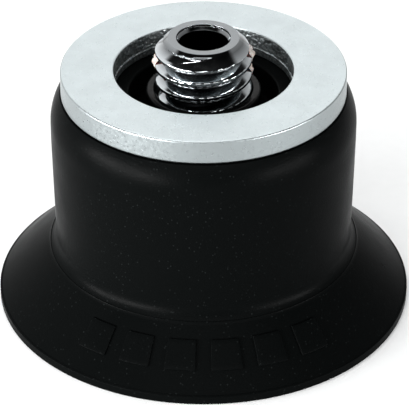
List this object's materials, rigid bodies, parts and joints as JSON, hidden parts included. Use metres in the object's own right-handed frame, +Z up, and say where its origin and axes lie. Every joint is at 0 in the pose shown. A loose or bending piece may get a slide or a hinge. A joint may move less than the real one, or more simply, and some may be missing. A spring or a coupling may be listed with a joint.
{
  "type": "vacuum suction cup",
  "caption": "Deep rubber bell suction cup with a flared sealing lip, a steel support ring and a hollow threaded stud for a vacuum holder.",
  "frame": {"origin": "centre of the sealing plane, on the cup's axis at the foot of the lip", "axes": "+Z up the cup's axis towards the end of the threaded stud; -Y faces the viewer; +X to the viewer's right"},
  "size_m": [0.026, 0.026, 0.018],
  "materials": {
    "nitrile_rubber": "moulded satin black",
    "plated_steel": "satin zinc plate, punched edges",
    "nickel_plate": "bright turned and plated",
    "locking_nylon": "rough sprayed patch"
  },
  "bodies": {
    "head": {"support_ring": "plated_steel", "threaded_stud": "nickel_plate", "anchor_plate": "plated_steel", "stud_seal": "nitrile_rubber", "thread_lock_patch": "locking_nylon", "cup_crown": "nitrile_rubber"},
    "bell": {"bell_wall": "nitrile_rubber"},
    "lip": {"lip_skirt": "nitrile_rubber"},
    "edge": {"sealing_edge": "nitrile_rubber"}
  },
  "joints": [
    {"name": "lip_tilt_fore_aft", "type": "hinge", "parent": "head", "child": "bell", "pos_m": [0, 0, 0.008], "axis": [1, 0, 0], "range_deg": [-5, 5], "stiffness_Nm_per_rad": 1, "deforming": ["bell_wall"]},
    {"name": "lip_tilt_sideways", "type": "hinge", "parent": "bell", "child": "lip", "pos_m": [0, 0, 0.0052], "axis": [0, 1, 0], "range_deg": [-5, 5], "stiffness_Nm_per_rad": 1},
    {"name": "lip_stroke", "type": "slide", "parent": "lip", "child": "edge", "axis": [0, 0, 1], "range_m": [0, 0.0018], "stiffness_N_per_m": 3000, "deforming": ["lip_skirt"]}
  ]
}
